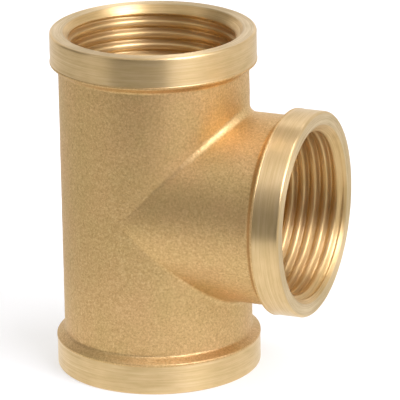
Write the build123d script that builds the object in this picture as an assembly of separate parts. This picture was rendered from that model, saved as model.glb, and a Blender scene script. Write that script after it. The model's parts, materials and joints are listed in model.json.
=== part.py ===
from build123d import *
import os

# Brass pipe tee with three G1 parallel female threads (ISO 228-1).  Lengths are in millimetres.
# +Z runs up the straight run, +X runs out along the branch, and the origin is the centre of the
# run's lower end face, which is the face that the tee stands on.

# Overall size
RUN_LENGTH = 66.4  # end face to end face
BRANCH_REACH = 32.6  # run axis to branch end face
BRANCH_HEIGHT = RUN_LENGTH / 2
TUBE_R = 18.1  # as-cast outside radius of the run
NECK_R = 18.05  # as-cast outside radius of the branch
CREASE_R = 1.5  # cast fillet where the branch meets the run

# Turned end bands
BAND_R = 19.6
RUN_BAND_WIDTH = 5.6
BRANCH_BAND_WIDTH = 5.2
EDGE_R = 0.45  # rounding of the band's outer edge at the end face
RIM_R = BAND_R + 0.08  # the cast rim behind a band stands proud of the turned surface
RIM_WIDTH = 0.4
SHOULDER_WIDTH = 1.1  # axial width of the sloping cast shoulder
SHOULDER_FILLET = 0.7
RIM_ROUND = 0.3

# G1 thread, 55 degree form with flat roots
PITCH = 2.309
MAJOR_R = 33.249 / 2
MINOR_R = 30.291 / 2
ROOT_FLAT = PITCH / 6
FLANK_SLOPE = (PITCH / 2 - ROOT_FLAT) / (MAJOR_R - MINOR_R)
BORE_R = 15.6  # drilled wider than MINOR_R, which leaves the crests short and broad
OVERCUT = 0.2  # how far the groove's section reaches inside the bore wall

# Port, as depths below its end face
MOUTH_R = 17.15  # 45 degree countersink at the end face
THREAD_DEPTH = 13.0  # end of the full crests
RELIEF_R = 16.7  # thread relief, just clear of the thread's roots
RELIEF_START = 13.9
RELIEF_END = 15.6
PORT_DEPTH = 16.8  # where the port has closed down to the passage
PASSAGE_R = 14.4
THREAD_START = -1.2  # the groove's path begins just outside the port
THREAD_END = 14.5  # and ends in the middle of the relief
START_ANGLE = 7  # where the groove ends inside the relief, in degrees round the port


def band_outline(tube_r, width, face, inward):
    """Half outline of one end of a tube: end face, turned band, cast rim and shoulder."""
    rim_start = width
    rim_end = rim_start + RIM_WIDTH
    tube_start = rim_end + SHOULDER_WIDTH
    steps = [
        (0, 0),
        (BAND_R, 0),
        (BAND_R, rim_start),
        (RIM_R, rim_start),
        (RIM_R, rim_end),
        (tube_r, tube_start),
    ]
    return [(r, face + inward * depth) for r, depth in steps]


def nearest_vertex(face, r, height):
    """The corner of a flat outline at radius r and the given height."""
    return face.vertices().sort_by_distance((r, 0, height))[0]


def round_corner(outline, r, height, radius):
    return fillet(nearest_vertex(outline, r, height), radius)


def round_band(outline, tube_r, width, face, inward):
    """Round the band's outer edge, the rim's edge and the foot of the shoulder."""
    rim_end = face + inward * (width + RIM_WIDTH)
    tube_start = rim_end + inward * SHOULDER_WIDTH
    outline = round_corner(outline, BAND_R, face, EDGE_R)
    outline = round_corner(outline, RIM_R, rim_end, RIM_ROUND)
    return round_corner(outline, tube_r, tube_start, SHOULDER_FILLET)


def run_blank():
    """The straight run with a band at each end, without its bore."""
    lower = band_outline(TUBE_R, RUN_BAND_WIDTH, 0, 1)
    upper = band_outline(TUBE_R, RUN_BAND_WIDTH, RUN_LENGTH, -1)
    outline = make_face(Plane.XZ * Polyline(*lower, *reversed(upper), close=True))
    outline = round_band(outline, TUBE_R, RUN_BAND_WIDTH, 0, 1)
    outline = round_band(outline, TUBE_R, RUN_BAND_WIDTH, RUN_LENGTH, -1)
    return revolve(outline, Axis.Z)


def branch_blank():
    """The branch, from the run's axis out to its own end face, without its bore."""
    end = band_outline(NECK_R, BRANCH_BAND_WIDTH, BRANCH_REACH, -1)
    outline = make_face(Plane.XZ * Polyline(*end, (NECK_R, 0), (0, 0), close=True))
    outline = round_band(outline, NECK_R, BRANCH_BAND_WIDTH, BRANCH_REACH, -1)
    along_x = Plane(origin=(0, 0, BRANCH_HEIGHT), x_dir=(0, 0, 1), z_dir=(1, 0, 0))
    return along_x * revolve(outline, Axis.Z)


def casting():
    """Run and branch as one piece, with a cast fillet along the line where they cross."""
    blank = run_blank() + branch_blank()
    crease = [e for e in blank.edges() if is_crease(e)]
    return fillet(crease, CREASE_R)


def is_crease(edge):
    """True for the edges where the branch's surface crosses the run's."""
    return edge.geom_type not in (GeomType.LINE, GeomType.CIRCLE)


def port_cutter():
    """Bore, relief and run-down of one port.  Its end face is at Z = 0, opening to +Z."""
    outline = Polyline(
        (0, 1),
        (BORE_R, 1),
        (BORE_R, -THREAD_DEPTH),
        (RELIEF_R, -RELIEF_START),
        (RELIEF_R, -RELIEF_END),
        (PASSAGE_R, -PORT_DEPTH),
        (0, -PORT_DEPTH),
        close=True,
    )
    return revolve(make_face(Plane.XZ * outline), Axis.Z)


def countersink_cutter():
    """Cone at 45 degrees that opens the mouth of one port, in the same place as port_cutter."""
    inner_r = BORE_R - 0.5
    depth = MOUTH_R - inner_r
    outline = Polyline((0, 1), (MOUTH_R + 1, 1), (inner_r, -depth), (0, -depth), close=True)
    return revolve(make_face(Plane.XZ * outline), Axis.Z)


def thread_cutter():
    """Right-hand helical groove of one port, in the same place as port_cutter."""
    path = Pos(0, 0, -THREAD_END) * Helix(PITCH, THREAD_END - THREAD_START, BORE_R)
    inner_r = BORE_R - OVERCUT
    inner_half = ROOT_FLAT / 2 + FLANK_SLOPE * (MAJOR_R - inner_r)
    section = Polyline(
        (inner_r, -THREAD_END - inner_half),
        (MAJOR_R, -THREAD_END - ROOT_FLAT / 2),
        (MAJOR_R, -THREAD_END + ROOT_FLAT / 2),
        (inner_r, -THREAD_END + inner_half),
        close=True,
    )
    groove = sweep(make_face(Plane.XZ * section), path=path, is_frenet=True)
    return Rot(0, 0, START_ANGLE) * groove


def ports():
    """One plane on each end face, with its Z pointing out of the port."""
    return [
        Plane(origin=(0, 0, RUN_LENGTH), x_dir=(1, 0, 0), z_dir=(0, 0, 1)),
        Plane(origin=(0, 0, 0), x_dir=(1, 0, 0), z_dir=(0, 0, -1)),
        Plane(origin=(BRANCH_REACH, 0, BRANCH_HEIGHT), x_dir=(0, 1, 0), z_dir=(1, 0, 0)),
    ]


def passages():
    """The waterway that joins the three ports."""
    along_x = Plane(origin=(0, 0, BRANCH_HEIGHT), z_dir=(1, 0, 0))
    up = (Align.CENTER, Align.CENTER, Align.MIN)
    run = Cylinder(PASSAGE_R, RUN_LENGTH, align=up)
    branch = along_x * Cylinder(PASSAGE_R, BRANCH_REACH, align=up)
    return run + branch


def tee_body():
    """The whole fitting: the casting, then its passages, bores, threads and countersinks."""
    body = casting() - passages()
    for cutter in (port_cutter(), thread_cutter(), countersink_cutter()):
        for port in ports():
            body = body - port * cutter
    return body


os.makedirs("parts", exist_ok=True)
body = tee_body()
body.label = "tee_body"
export_step(body, "parts/tee_body.step")
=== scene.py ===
import bpy, bmesh, json, math
import numpy as np
from mathutils import Matrix, Vector, noise


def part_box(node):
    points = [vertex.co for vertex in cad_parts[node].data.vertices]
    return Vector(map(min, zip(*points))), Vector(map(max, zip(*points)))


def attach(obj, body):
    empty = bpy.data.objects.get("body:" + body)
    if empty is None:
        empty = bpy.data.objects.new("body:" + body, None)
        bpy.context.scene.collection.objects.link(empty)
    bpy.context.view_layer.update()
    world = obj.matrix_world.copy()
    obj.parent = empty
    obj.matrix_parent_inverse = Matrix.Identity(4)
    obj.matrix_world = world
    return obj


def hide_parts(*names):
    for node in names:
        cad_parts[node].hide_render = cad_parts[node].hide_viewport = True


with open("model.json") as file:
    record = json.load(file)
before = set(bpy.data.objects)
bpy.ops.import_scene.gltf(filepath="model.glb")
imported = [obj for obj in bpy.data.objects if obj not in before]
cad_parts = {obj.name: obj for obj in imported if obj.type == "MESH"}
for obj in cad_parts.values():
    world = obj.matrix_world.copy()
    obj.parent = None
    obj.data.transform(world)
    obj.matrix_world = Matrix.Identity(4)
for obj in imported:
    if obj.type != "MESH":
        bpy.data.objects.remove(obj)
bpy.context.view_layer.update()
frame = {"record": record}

# ---------------------------------------------------------------- dimensions, in millimetres
MM = 0.001
lo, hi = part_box("tee_body")
RUN = (hi[2] - lo[2]) / MM
REACH = hi[0] / MM
RIM = -lo[0] / MM
MOUNTS = {m["name"]: m for m in frame["record"]["mounts"]}
BORE = MOUNTS["upper_port"]["dims"]["r_mm"]
ZC = MOUNTS["branch_port"]["pos_m"][2] / MM
PITCH = 2.309
MAJOR = 33.249 / 2
BAND = RIM - 0.08
TUBE = 18.1
CREASE = 1.5  # radius of the fillet where the branch meets the run
RIM_WIDTH = 0.4
RIM_ROUND = 0.3
SHOULDER_WIDTH = 1.1
SHOULDER_FILLET = 0.7
EDGE_ROUND = 0.45
MOUTH = 17.15
MOUTH_DEPTH = 0.12  # of the rounded edge between the end face and the countersink
THREAD_DEPTH = 13.0
THREAD_END = 14.5
RELIEF = 16.7
RELIEF_START = 13.9
RELIEF_END = 15.6
PASSAGE = 14.4
PORT_DEPTH = 16.8
HALF = 90
COLS = 2 * HALF  # columns of vertices round every port
ANGLE = np.pi * np.arange(COLS) / HALF


class Shape:
    """Collects the vertices and faces of one closed mesh, with a material slot for each face."""

    def __init__(self):
        self.co, self.lathe, self.cast = [], [], []
        self.faces, self.slots = [], []

    def add(self, xyz, lathe=None, cast=0.0):
        """New vertices. lathe is each one's place on its lathe axis, cast is 1 on the rough skin."""
        xyz = np.atleast_2d(xyz)
        lathe = np.zeros_like(xyz) if lathe is None else np.atleast_2d(lathe)
        first = sum(len(c) for c in self.co)
        self.co.append(xyz)
        self.lathe.append(lathe)
        self.cast.append(np.full(len(xyz), cast) if np.isscalar(cast) else cast)
        return np.arange(first, first + len(xyz))

    def face(self, corners, slot):
        """One face. Corners that fell on the same vertex are dropped."""
        keep = []
        for c in corners:
            if c not in keep:
                keep.append(int(c))
        if len(keep) > 2:
            self.faces.append(keep)
            self.slots.append(slot)

    def bridge(self, a, b, slot, closed=True):
        """A strip of quads between two rows with the same number of vertices."""
        n = len(a)
        for i in range(n if closed else n - 1):
            j = (i + 1) % n
            self.face((a[i], a[j], b[j], b[i]), slot)


# Where each port sits: (radius, depth below the end face) on its columns -> place in the part
PORTS = {
    "upper": lambda r, d, c, s: np.stack([r * s, -r * c, RUN - d], -1),
    "lower": lambda r, d, c, s: np.stack([r * s, -r * c, d], -1),
    "branch": lambda r, d, c, s: np.stack([REACH - d, -r * c, ZC + r * s], -1),
}
BANDS = {"upper": 5.6, "lower": 5.6, "branch": 5.2}
TURN = {"upper": -1, "lower": 1, "branch": 1}  # which way round the right-hand thread climbs out
PHASE = {"upper": 97 / 360, "lower": -83 / 360, "branch": -173 / 360}


def port_ring(shape, port, r, d, s, cast=0.0):
    """One ring of vertices of radius r at depth d. s is its place along the turned profile."""
    r = np.broadcast_to(np.asarray(r, float), (COLS,))
    d = np.broadcast_to(np.asarray(d, float), (COLS,))
    c, si = np.cos(ANGLE), np.sin(ANGLE)
    lathe = np.stack([r * c, r * si, np.broadcast_to(s, (COLS,))], -1)
    return shape.add(PORTS[port](r, d, c, si), lathe, cast)


def arc(cr, cd, radius, a0, a1, n):
    """Points of a rounded corner, from angle a0 to a1 in degrees, in (radius, depth)."""
    return [
        (cr + radius * math.cos(math.radians(a)), cd + radius * math.sin(math.radians(a)))
        for a in np.linspace(a0, a1, n)
    ]


def line(a, b, step):
    """Points between a and b, without the two ends."""
    n = max(int(round(math.dist(a, b) / step)), 1)
    return [tuple(np.array(a) + (np.array(b) - a) * t) for t in np.linspace(0, 1, n + 1)[1:-1]]


def shoulder_turn():
    """Angle in degrees between the tube and the shoulder's cone."""
    return 90 - math.degrees(math.atan2(SHOULDER_WIDTH, RIM - TUBE))


def shoulder_start(width):
    """Depth where the tube turns into the shoulder's hollow fillet."""
    reach = SHOULDER_FILLET * math.tan(math.radians(shoulder_turn() / 2))
    return width + RIM_WIDTH + SHOULDER_WIDTH + reach


def band_profile(width):
    """(radius, depth, slot) from the tube, over the shoulder, rim and band, to the mouth."""
    turn = shoulder_turn()
    cast = arc(TUBE + SHOULDER_FILLET, shoulder_start(width), SHOULDER_FILLET, 180, 180 + turn, 5)
    lean = math.tan(math.radians(turn / 2)) * RIM_ROUND
    corner = arc(RIM - RIM_ROUND, width + RIM_WIDTH - lean, RIM_ROUND, turn, 0, 5)
    cast += line(cast[-1], corner[0], 0.3) + corner
    cast += [(RIM, width + 0.06), (RIM - 0.02, width + 0.015)]
    turned = [(BAND, width), (BAND, width - 0.05)]
    turned += line(turned[-1], (BAND, 0.5), 0.45)
    edge = arc(BAND - EDGE_ROUND, EDGE_ROUND, EDGE_ROUND, 0, -90, 7)
    turned += edge
    face = [(edge[-1][0] - 0.06, 0.0)]
    face += line(face[-1], (MOUTH + 0.16, 0), 0.5) + [(MOUTH + 0.16, 0.0)]
    face += arc(MOUTH + 0.1, MOUTH_DEPTH, MOUTH_DEPTH, -90, -135, 3)[1:]
    return (
        [(r, d, "cast") for r, d in cast]
        + [(r, d, "turned") for r, d in turned]
        + [(r, d, "face") for r, d in face]
    )


def soft_low(a, b, k):
    """The lower of two curves, with the corner between them rounded over k."""
    h = np.clip(0.5 + 0.5 * (b - a) / k, 0, 1)
    return b * (1 - h) + a * h - k * h * (1 - h)


def thread_radius(f):
    """Bore radius at fraction f of a pitch, with the root at 0 and the crest at one half."""
    x = np.abs((np.asarray(f) + 0.5) % 1 - 0.5) * PITCH
    flank = MAJOR - (x - PITCH / 12) / math.tan(math.radians(27.5))
    inside = soft_low(flank, np.full_like(flank, MAJOR - 0.02), 0.25)
    return -soft_low(-inside, np.full_like(flank, -BORE), 0.3)


# Rows of vertices in one pitch, closest where the section turns
HALF_ROWS = [0.06, 0.11, 0.17, 0.23, 0.28, 0.325, 0.38]
ROWS = np.array([0] + HALF_ROWS + [0.5] + [1 - f for f in reversed(HALF_ROWS)])
SNAP = 0.03  # rows closer than this to an end of the thread join that end


def thread(shape, port, top, s0, d0, d1):
    """The threaded wall as helical rows, from the plain circle `top` at d0 to a new one at d1."""
    k = len(ROWS)
    turns = int(d1 / PITCH) + 4
    f = np.tile(ROWS, turns)
    depth = (np.repeat(np.arange(turns), k) + f - 2) * PITCH
    offset = (TURN[port] * np.arange(COLS) / COLS + PHASE[port]) * PITCH
    d = depth[:, None] + offset[None, :] + (THREAD_END % PITCH)
    r = np.broadcast_to(thread_radius(f)[:, None], d.shape)
    lead_in = MOUTH - d
    run_out = BORE + (d - THREAD_DEPTH) * (RELIEF - BORE) / (RELIEF_START - THREAD_DEPTH)
    r = np.maximum(r, np.maximum(lead_in, np.minimum(run_out, RELIEF)))
    ids = np.full(d.shape, -1)
    bottom = port_ring(shape, port, RELIEF, d1, s0 + d1)
    above, below = d < d0 + SNAP, d > d1 - SNAP
    ids[above] = np.broadcast_to(top, d.shape)[above]
    ids[below] = np.broadcast_to(bottom, d.shape)[below]
    free = ids < 0
    rows, cols = np.nonzero(free)
    c, si = np.cos(ANGLE[cols]), np.sin(ANGLE[cols])
    rr, dd = r[free], d[free]
    ids[free] = shape.add(PORTS[port](rr, dd, c, si), np.stack([rr * c, rr * si, s0 + dd], -1))
    for i in range(COLS):
        j = (i + 1) % COLS
        step = TURN[port] * k if j == 0 else 0
        for n in range(len(f) - 1):
            a, b = ids[n, i], ids[n + 1, i]
            m = n + step
            e = top[j] if m < 0 else bottom[j] if m >= len(f) else ids[m, j]
            g = top[j] if m + 1 < 0 else bottom[j] if m + 1 >= len(f) else ids[m + 1, j]
            shape.face((a, b, g, e), "thread")
    return bottom


def build_port(shape, port, tube_ring):
    """Everything from the tube's end to the inner end of the port. Returns the innermost ring."""
    last, s = tube_ring, 0.0
    before = None
    for r, d, slot in band_profile(BANDS[port]):
        s += 0 if before is None else math.dist((r, d), before)
        before = (r, d)
        ring = port_ring(shape, port, r, d, s, 1.0 if slot == "cast" else 0.0)
        shape.bridge(last, ring, slot)
        last = ring
    top = port_ring(shape, port, MOUTH - MOUTH_DEPTH, MOUTH_DEPTH, s + 0.1)
    shape.bridge(last, top, "face")
    last = thread(shape, port, top, s, MOUTH_DEPTH, RELIEF_START)
    for r, d in [(RELIEF, 14.3), (RELIEF, 15.0), (RELIEF, 15.5), (RELIEF - 0.12, RELIEF_END + 0.02)]:
        ring = port_ring(shape, port, r, d, s + d)
        shape.bridge(last, ring, "thread")
        last = ring
    closing = PORT_DEPTH - RELIEF_END
    for t in (0.3, 0.65, 0.95):
        r = RELIEF + (PASSAGE - RELIEF) * t
        ring = port_ring(shape, port, r, RELIEF_END + closing * t, s + RELIEF_END + 1.5 * t)
        shape.bridge(last, ring, "bore")
        last = ring
    return last


def loft(shape, first, place, end_ids, rows, slot, cast):
    """Rows of vertices between the ring `first` and the ring end_ids."""
    last = first
    for n in range(1, rows):
        ring = shape.add(place(n / rows), None, cast)
        shape.bridge(last, ring, slot)
        last = ring
    shape.bridge(last, end_ids, slot)


def tube_walls(shape, r, fillet, run_ends, branch_end, slot, cast, rows):
    """The run and the branch between their ports, joined along the two creases by a fillet.

    run_ends gives the ring at the upper and lower port, with its height, and branch_end the same with
    its distance out. A ball of radius `fillet` that rolls along the crease keeps to the planes at 45
    degrees, so its centre is at (r + fillet) * (sin a, -cos a, +-sin a).
    """
    c, s = np.cos(ANGLE), np.sin(ANGLE)
    big = r + fillet
    on_branch = np.arange(1, HALF)
    saddles = shape.add(np.array([[0, -r, ZC], [0, r, ZC]]), None, cast)
    back = shape.add(np.stack([r * s, -r * c, np.full(COLS, ZC)], -1)[HALF + 1 :], None, cast)
    neck_ring = np.zeros(COLS, int)
    neck_ring[0], neck_ring[HALF] = saddles
    for sign, (ring, z_end) in zip((1, -1), run_ends):
        ends = np.zeros(COLS, int)
        ends[0], ends[HALF] = saddles
        ends[HALF + 1 :] = back
        rise = np.where(np.arange(COLS) <= HALF, big * np.abs(s), 0.0)
        ends[on_branch] = shape.add(
            np.stack([r * s, -r * c, ZC + sign * rise], -1)[on_branch], None, cast
        )
        loft(
            shape,
            ring,
            lambda t: np.stack([r * s, -r * c, z_end + (ZC + sign * rise - z_end) * t], -1),
            ends,
            rows,
            slot,
            cast,
        )
        last = ends[: HALF + 1]
        steps = 7 if fillet else 0
        for m in range(1, steps + 1):
            arc_row = last.copy()
            for i in on_branch:
                d1 = np.array([-s[i], c[i], 0.0])
                d2 = np.array([0.0, c[i], -sign * s[i]])
                gap = math.acos(np.clip(d1 @ d2, -1, 1))
                t = m / steps
                way = (math.sin((1 - t) * gap) * d1 + math.sin(t * gap) * d2) / math.sin(gap)
                centre = np.array([big * s[i], -big * c[i], ZC + sign * big * s[i]])
                arc_row[i] = shape.add(centre + fillet * way, None, cast)[0]
            shape.bridge(last, arc_row, slot, closed=False)
            last = arc_row
        if sign > 0:
            neck_ring[on_branch] = last[on_branch]
        else:
            neck_ring[COLS - on_branch] = last[on_branch]
    ring, x_end = branch_end
    start = big * np.abs(s)
    loft(
        shape,
        neck_ring,
        lambda t: np.stack([start + (x_end - start) * t, -r * c, ZC + r * s], -1),
        ring,
        rows,
        slot,
        cast,
    )


def build_tee():
    shape = Shape()
    outer, inner = {}, {}
    for port, width in BANDS.items():
        foot = shoulder_start(width) + 0.15
        outer[port] = (port_ring(shape, port, TUBE, foot, -0.1, 1.0), foot)
        last = build_port(shape, port, outer[port][0])
        depth = PORT_DEPTH + 0.1
        inner[port] = (port_ring(shape, port, PASSAGE, depth, 30.0), depth)
        shape.bridge(last, inner[port][0], "bore")
    for r, fillet, rings, slot, cast, rows in (
        (TUBE, CREASE, outer, "cast", 1.0, 27),
        (PASSAGE, 0.0, inner, "bore", 0.6, 8),
    ):
        tube_walls(
            shape,
            r,
            fillet,
            [(rings["upper"][0], RUN - rings["upper"][1]), (rings["lower"][0], rings["lower"][1])],
            (rings["branch"][0], REACH - rings["branch"][1]),
            slot,
            cast,
            rows,
        )
    return shape


def to_object(shape, name, slots):
    """The shape as a smooth-shaded Blender object, with its lathe and cast attributes."""
    co = np.concatenate(shape.co)
    lathe = np.concatenate(shape.lathe)
    cast = np.concatenate(shape.cast)
    mesh = bpy.data.meshes.new(name)
    mesh.from_pydata((co * MM).tolist(), [], shape.faces)
    mesh.polygons.foreach_set("material_index", [slots.index(s) for s in shape.slots])
    mesh.attributes.new("lathe", "FLOAT_VECTOR", "POINT").data.foreach_set("vector", lathe.ravel())
    mesh.attributes.new("cast", "FLOAT", "POINT").data.foreach_set("value", cast)
    bm = bmesh.new()
    bm.from_mesh(mesh)
    bmesh.ops.recalc_face_normals(bm, faces=bm.faces)
    open_edges = sum(1 for e in bm.edges if len(e.link_faces) != 2)
    volume = bm.calc_volume() / MM**3
    print("MESH", name, len(bm.verts), len(bm.faces), "open edges", open_edges)
    print("MESH volume mm3", round(volume))
    bm.to_mesh(mesh)
    bm.free()
    mesh.polygons.foreach_set("use_smooth", [True] * len(mesh.polygons))
    mesh.update()
    roughen(mesh, cast)
    ob = bpy.data.objects.new(name, mesh)
    bpy.context.scene.collection.objects.link(ob)
    return ob


# Height and width of the casting's swells in millimetres, and each one's place in the noise
SWELLS = [(0.045, 7.0, (0, 0, 0)), (0.028, 2.6, (9, 4, 2)), (0.014, 1.1, (3, 8, 5))]


def roughen(mesh, cast):
    """Uneven casting: shallow swells a few millimetres across, on the cast skin only."""
    n = len(mesh.vertices)
    co, normal = np.empty(n * 3), np.empty(n * 3)
    mesh.vertices.foreach_get("co", co)
    mesh.vertex_normals.foreach_get("vector", normal)
    co, normal = co.reshape(-1, 3), normal.reshape(-1, 3)
    lift = np.zeros(n)
    for i in np.nonzero(cast > 0)[0]:
        p = Vector(co[i]) / MM
        lift[i] = sum(h * noise.noise(p / size + Vector(shift)) for h, size, shift in SWELLS)
    co += normal * (lift * cast * MM)[:, None]
    mesh.vertices.foreach_set("co", co.ravel())
    mesh.update()


# ---------------------------------------------------------------- materials
class Nodes:
    """A short way to write the node tree of a material or a world."""

    def __init__(self, owner, output="OutputMaterial"):
        self.owner = owner
        owner.use_nodes = True
        self.tree = owner.node_tree
        self.tree.nodes.clear()
        self.out = self.new(output)

    def finish(self, shader):
        self.set(self.out.inputs["Surface"], shader.outputs[0])
        return self.owner

    def new(self, kind, inputs=(), **settings):
        node = self.tree.nodes.new("ShaderNode" + kind)
        for key, value in settings.items():
            setattr(node, key, value)
        for key, value in dict(inputs).items():
            self.set(node.inputs[key], value)
        return node

    def set(self, socket, value):
        if isinstance(value, bpy.types.NodeSocket):
            self.tree.links.new(value, socket)
        else:
            socket.default_value = value

    def math(self, operation, a, b=0.0, clamp=False):
        return self.new("Math", {0: a, 1: b}, operation=operation, use_clamp=clamp).outputs[0]

    def scaled(self, vector, scale):
        return self.new("VectorMath", {0: vector, 1: scale}, operation="MULTIPLY").outputs[0]

    def noise(self, vector, scale=1.0, detail=3.0, rough=0.5):
        inputs = {"Vector": vector, "Scale": scale, "Detail": detail, "Roughness": rough}
        return self.new("TexNoise", inputs).outputs["Fac"]

    def spread(self, value, low, high, to_low=0.0, to_high=1.0):
        ends = {"From Min": low, "From Max": high, "To Min": to_low, "To Max": to_high}
        return self.new("MapRange", {"Value": value, **ends}).outputs["Result"]

    def ramp(self, value, stops):
        node = self.new("ValToRGB", {"Fac": value})
        band = node.color_ramp.elements
        while len(band) < len(stops):
            band.new(0.5)
        for element, (at, colour) in zip(band, stops):
            element.position = at
            element.color = (*colour, 1)
        return node.outputs["Color"]

    def mix(self, fac, a, b, mode="MIX"):
        node = self.new("Mix", data_type="RGBA", blend_type=mode)
        for socket, value in ((node.inputs[0], fac), (node.inputs[6], a), (node.inputs[7], b)):
            self.set(socket, (*value, 1) if isinstance(value, tuple) else value)
        return node.outputs[2]


def cast_brass():
    """Shot-blasted casting: matt, speckled, with a dimpled grain."""
    n = Nodes(bpy.data.materials.new("cast_brass"))
    place = n.scaled(n.new("TexCoord").outputs["Object"], (1000, 1000, 1000))
    grain = n.noise(place, 2.3, 3.0, 0.65)
    fine = n.noise(place, 5.2, 2.0, 0.6)
    dents = n.new("TexVoronoi", {"Vector": place, "Scale": 1.9, "Randomness": 1.0}, feature="SMOOTH_F1")
    dents.inputs["Smoothness"].default_value = 0.4
    broad = n.noise(place, 0.09, 3.0, 0.55)
    tone = n.math("ADD", n.math("MULTIPLY", grain, 0.6), n.math("MULTIPLY", fine, 0.4))
    dark, mid, light = (0.51, 0.325, 0.138), (0.70, 0.474, 0.23), (0.88, 0.65, 0.352)
    colour = n.ramp(tone, [(0.30, dark), (0.50, mid), (0.70, light)])
    tint = n.ramp(broad, [(0.35, (0.93, 0.95, 0.86)), (0.65, (1.0, 0.965, 0.93))])
    colour = n.mix(1.0, colour, tint, "MULTIPLY")
    rough = n.spread(tone, 0.3, 0.7, 0.56, 0.42)
    height = n.math("ADD", n.math("MULTIPLY", grain, 0.55), n.math("MULTIPLY", fine, 0.25))
    height = n.math("ADD", height, n.math("MULTIPLY", dents.outputs["Distance"], 0.35))
    bump = n.new("Bump", {"Height": height, "Strength": 0.48, "Distance": 0.00016})
    shader = n.new(
        "BsdfPrincipled",
        {"Base Color": colour, "Metallic": 1.0, "Roughness": rough, "Normal": bump.outputs[0]},
    )
    return n.finish(shader)


def turned_brass(name, dark, mid, light, rough, lines, aniso, seed):
    """Lathe-turned brass: fine rings round the axis, with a few deeper ones."""
    n = Nodes(bpy.data.materials.new(name))
    at = n.new("Attribute", attribute_name="lathe").outputs["Vector"]
    shift = (seed, seed * 0.7, seed * 1.3)
    at = n.new("VectorMath", {0: at, 1: shift}, operation="ADD").outputs[0]
    rings = n.noise(n.scaled(at, (0.05, 0.05, 9.0)), 1.0, 4.0, 0.7)
    coarse = n.noise(n.scaled(at, (0.12, 0.12, 2.2)), 1.0, 3.0, 0.6)
    stain = n.noise(n.scaled(at, (0.16, 0.16, 0.35)), 1.0, 3.0, 0.6)
    tone = n.math("ADD", n.math("MULTIPLY", rings, 0.55), n.math("MULTIPLY", coarse, 0.45))
    colour = n.ramp(tone, [(0.32, dark), (0.5, mid), (0.68, light)])
    stained = n.mix(1.0, colour, (0.90, 0.90, 0.84), "MULTIPLY")
    colour = n.mix(n.spread(stain, 0.35, 0.7), colour, stained)
    ring_rough = n.spread(rings, 0.3, 0.7, rough * 1.25, rough * 0.8)
    rough_out = n.math("ADD", ring_rough, n.spread(stain, 0.4, 0.7, 0.0, 0.06))
    height = n.math("ADD", n.math("MULTIPLY", rings, 0.6), n.math("MULTIPLY", coarse, 0.8))
    bump = n.new("Bump", {"Height": height, "Strength": lines, "Distance": 0.00004})
    tangent = n.new("Tangent", direction_type="UV_MAP", uv_map="turning")
    shader = n.new(
        "BsdfPrincipled",
        {
            "Base Color": colour,
            "Metallic": 1.0,
            "Roughness": rough_out,
            "Anisotropic": aniso,
            "Anisotropic Rotation": 0.25,
            "Normal": bump.outputs[0],
            "Tangent": tangent.outputs[0],
        },
    )
    return n.finish(shader)


def turning_uv(mesh):
    """A UV map whose U runs round each port's axis, so that turned metal knows its grain."""
    n = len(mesh.vertices)
    lathe = np.empty(n * 3)
    mesh.attributes["lathe"].data.foreach_get("vector", lathe)
    lathe = lathe.reshape(-1, 3)
    loops = np.empty(len(mesh.loops), int)
    mesh.loops.foreach_get("vertex_index", loops)
    turn = np.arctan2(lathe[:, 1], lathe[:, 0]) / (2 * np.pi)
    u = turn[loops]
    starts = np.empty(len(mesh.polygons), int)
    totals = np.empty(len(mesh.polygons), int)
    mesh.polygons.foreach_get("loop_start", starts)
    mesh.polygons.foreach_get("loop_total", totals)
    for start, total in zip(starts, totals):
        own = u[start : start + total]
        if own.max() - own.min() > 0.5:
            own[own < 0] += 1
    uv = np.stack([u, lathe[loops, 2] / 60], -1)
    mesh.uv_layers.new(name="turning").data.foreach_set("uv", uv.ravel().astype(np.float32))


SLOTS = ["cast", "turned", "face", "thread", "bore"]
tee = to_object(build_tee(), "tee", SLOTS)
turning_uv(tee.data)
# Dark, middle and light colour, roughness, depth of the rings, anisotropy, and place in the noise
TURNED = {
    "turned": ((0.65, 0.455, 0.22), (0.77, 0.56, 0.296), (0.865, 0.66, 0.39), 0.36, 0.3, 0.75, 0),
    "face": ((0.556, 0.4, 0.202), (0.723, 0.553, 0.32), (0.834, 0.68, 0.44), 0.40, 0.35, 0.8, 40),
    # The thread's colours are the brass made darker and more orange: painted shade and interreflection
    # of the bore.
    "thread": ((0.578, 0.384, 0.173), (0.737, 0.518, 0.251), (0.847, 0.642, 0.346), 0.42, 0.3, 0.75, 80),
}
NAMES = {"turned": "turned_brass", "face": "faced_brass", "thread": "threaded_brass_painted_shade"}
for slot in SLOTS:
    metal = turned_brass(NAMES[slot], *TURNED[slot]) if slot in TURNED else cast_brass()
    tee.data.materials.append(metal)
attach(tee, "root")
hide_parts("tee_body")


# ---------------------------------------------------------------- table, lights and camera
AZIMUTH, ELEVATION, ROLL = 22.8, 18.8, -0.98  # of the camera, in degrees
REFLECTED = (1.0, 0.985, 0.96, 1)  # the table's colour in reflections


def plane(name, corners, material, faces=((0, 1, 2, 3),)):
    """A flat stage object, which isn't part of the fitting."""
    mesh = bpy.data.meshes.new(name)
    mesh.from_pydata([tuple(c) for c in corners], [], faces)
    mesh.materials.append(material)
    ob = bpy.data.objects.new(name, mesh)
    bpy.context.scene.collection.objects.link(ob)
    return ob


def white_table():
    """Matt white that glows a little, so that shadows on it stay faint."""
    n = Nodes(bpy.data.materials.new("white_table"))
    mottle = n.noise(n.new("TexCoord").outputs["Object"], 12.0)
    tone = n.mix(n.spread(mottle, 0.3, 0.7), (0.5, 0.5, 0.5), (0.4925, 0.4925, 0.4925))
    inputs = {"Roughness": 0.9, "Specular IOR Level": 0.1, "Emission Strength": 0.55}
    shader = n.new("BsdfPrincipled", {"Base Color": tone, "Emission Color": (1, 1, 1, 1), **inputs})
    return n.finish(shader)


def bearing(angle):
    """The compass direction `angle` degrees to the right of the camera, seen from the object."""
    return math.radians(angle + AZIMUTH - 90)


plane("floor", [(-30, -30, 0), (30, -30, 0), (30, 30, 0), (-30, 30, 0)], white_table())


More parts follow.
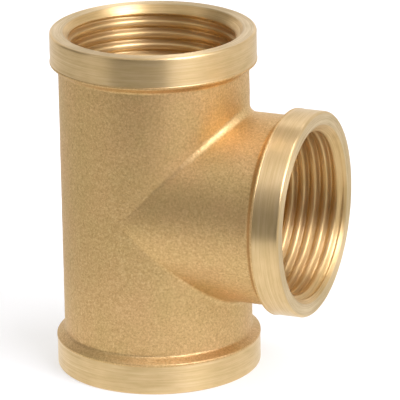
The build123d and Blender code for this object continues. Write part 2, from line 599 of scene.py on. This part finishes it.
def card(name, left, right, near, far, light):
    """A lit sector of the table between two bearings and two radii in metres.

    It is seen by reflections only, so the metal's table can be darker than the one the camera sees.
    """
    n = Nodes(bpy.data.materials.new(name))
    mottle = n.noise(n.new("TexCoord").outputs["Object"], 8.0)
    strength = n.spread(mottle, 0.3, 0.7, light * 0.96, light * 1.04)
    material = n.finish(n.new("Emission", {"Color": REFLECTED, "Strength": strength}))
    turns = [bearing(a) for a in np.linspace(left, right, int((right - left) / 10) + 2)]
    corners = [(math.cos(t) * r, math.sin(t) * r, 0.0005) for t in turns for r in (near, far)]
    faces = [(2 * i, 2 * i + 1, 2 * i + 3, 2 * i + 2) for i in range(len(turns) - 1)]
    ob = plane(name, corners, material, faces)
    ob.visible_camera = ob.visible_diffuse = ob.visible_shadow = False


CARDS = [
    ("card_near", 0, 360, 0.0001, 0.06, 1.04),
    ("card_front", -46, 15, 0.06, 0.15, 1.0),
    ("card_dark", -46, 15, 0.15, 20, 0.06),
    ("card_right", 15, 95, 0.06, 20, 0.92),
    ("card_back", 95, 225, 0.06, 20, 0.88),
    ("card_left", 225, 314, 0.06, 20, 0.75),
]
for settings in CARDS:
    card(*settings)


def studio_world(base, boxes):
    """An even grey studio with square softboxes and dark flags, warm where dim, cool where bright.

    Each box is (bearing, elevation, width, height, edge softness, light), all but the light in degrees.
    The light replaces what is there already, so later boxes cover earlier ones.
    """
    world = bpy.data.worlds.new("studio")
    bpy.context.scene.world = world
    n = Nodes(world, "OutputWorld")
    way = n.new("TexCoord").outputs["Generated"]
    light = base
    for turn, elevation, width, height, soft, strength in boxes:
        a, e = bearing(turn), math.radians(elevation)
        ahead = (math.cos(a) * math.cos(e), math.sin(a) * math.cos(e), math.sin(e))
        across = (-math.sin(a), math.cos(a), 0.0)
        upward = tuple(Vector(ahead).cross(Vector(across)))
        front = n.new("VectorMath", {0: way, 1: ahead}, operation="DOT_PRODUCT").outputs["Value"]
        inside = n.math("GREATER_THAN", front, 0.02)
        for axis, size in ((across, width), (upward, height)):
            side = n.new("VectorMath", {0: way, 1: axis}, operation="DOT_PRODUCT").outputs["Value"]
            offset = n.math("ABSOLUTE", n.math("DIVIDE", side, n.math("MAXIMUM", front, 0.02)))
            at, wide = math.tan(math.radians(size / 2)), math.radians(soft)
            inside = n.math("MULTIPLY", inside, n.spread(offset, at + wide, at - wide))
        light = n.new("Mix", {0: inside, 2: light, 3: strength}).outputs[0]
    tint = n.mix(n.spread(light, 0.15, 2.5), (1.0, 0.965, 0.90), (1.0, 1.0, 1.10))
    n.finish(n.new("Background", {"Color": tint, "Strength": light}))


studio_world(
    0.56,
    [
        (180, 18, 110, 50, 12, 1.0),  # wall behind the fitting
        (110, 22, 60, 50, 10, 0.8),  # wall on the right
        (-95, 22, 70, 56, 12, 0.23),  # dim left side
        (-15, 18, 84, 54, 8, 0.23),  # dark side round the camera
        (0, 89, 50, 50, 10, 0.65),  # ceiling
        (32, 8, 30, 16, 3, 0.25),  # dim foot of the main light
        (75, 32, 30, 26, 5, 1.6),  # fill beside it
        (42, 40, 30, 30, 3, 10.0),  # main softbox
        (8, 60, 50, 24, 6, 1.6),  # soft light over the camera
        (-50, 58, 40, 24, 6, 0.9),  # soft light on the upper left
        (-68, 32, 18, 40, 3, 1.0),  # strip on the left
        (171, 50, 12, 12, 1.5, 3.0),  # small lamp at the back
        (80, 71, 16, 16, 1.5, 9.5),  # lamp overhead, for the end faces
    ],
)


# The camera looks along -back, from DISTANCE metres away
LENS, DISTANCE = 372.5, 0.7877
AIM = Vector((0.00905, 0, 0.03337))
azimuth, elevation, roll = (math.radians(a) for a in (AZIMUTH, ELEVATION, ROLL))
flat = math.cos(elevation)
back = Vector((math.sin(azimuth) * flat, -math.cos(azimuth) * flat, math.sin(elevation)))
right = (-back).cross(Vector((0, 0, 1))).normalized()
up = right.cross(-back)
turned_right = math.cos(roll) * right + math.sin(roll) * up
turned_up = math.cos(roll) * up - math.sin(roll) * right
camera = bpy.data.objects.new("camera", bpy.data.cameras.new("camera"))
bpy.context.scene.collection.objects.link(camera)
camera.data.sensor_width = 36
camera.data.lens = LENS
camera.data.clip_start, camera.data.clip_end = 0.05, 20
facing = Matrix((turned_right, turned_up, back)).transposed()
camera.matrix_world = Matrix.Translation(AIM + back * DISTANCE) @ facing.to_4x4()
bpy.context.scene.camera = camera
bpy.context.scene.view_settings.view_transform = "Standard"
